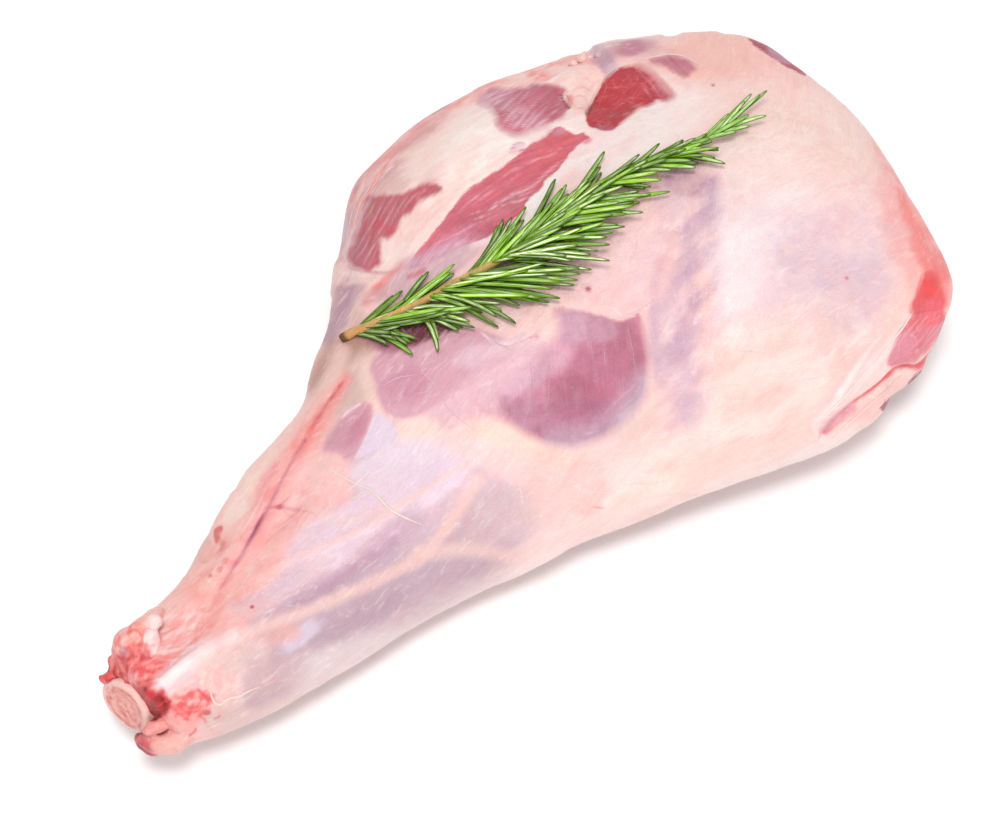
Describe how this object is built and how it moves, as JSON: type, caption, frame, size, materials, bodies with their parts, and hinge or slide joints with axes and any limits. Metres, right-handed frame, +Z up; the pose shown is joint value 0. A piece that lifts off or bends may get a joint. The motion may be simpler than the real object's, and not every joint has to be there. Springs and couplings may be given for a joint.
{
  "type": "raw leg of lamb",
  "caption": "Bone-in raw leg of lamb lying on its flattened side, with a sawn shank bone, muscles seen through thin fat, a cut chump end and a sprig of rosemary on top.",
  "frame": {"origin": "centre of the whole object's box in plan, on the surface it rests on", "axes": "+X from the sawn shank to the chump end, +Z up, -Y the near flank"},
  "size_m": [0.4014, 0.229, 0.1012],
  "materials": {
    "meat": "raw lamb: pale pink fat and membrane over mauve and red muscle, moist sheen",
    "bone": "freshly sawn bone, pinkish spongy centre with a paler rim",
    "rosemary": "dark green narrow needles with pale undersides on a tan woody stem"
  },
  "bodies": {
    "root": {"leg": "meat", "shank_bone": "bone", "rosemary_sprig": "rosemary"}
  },
  "joints": []
}
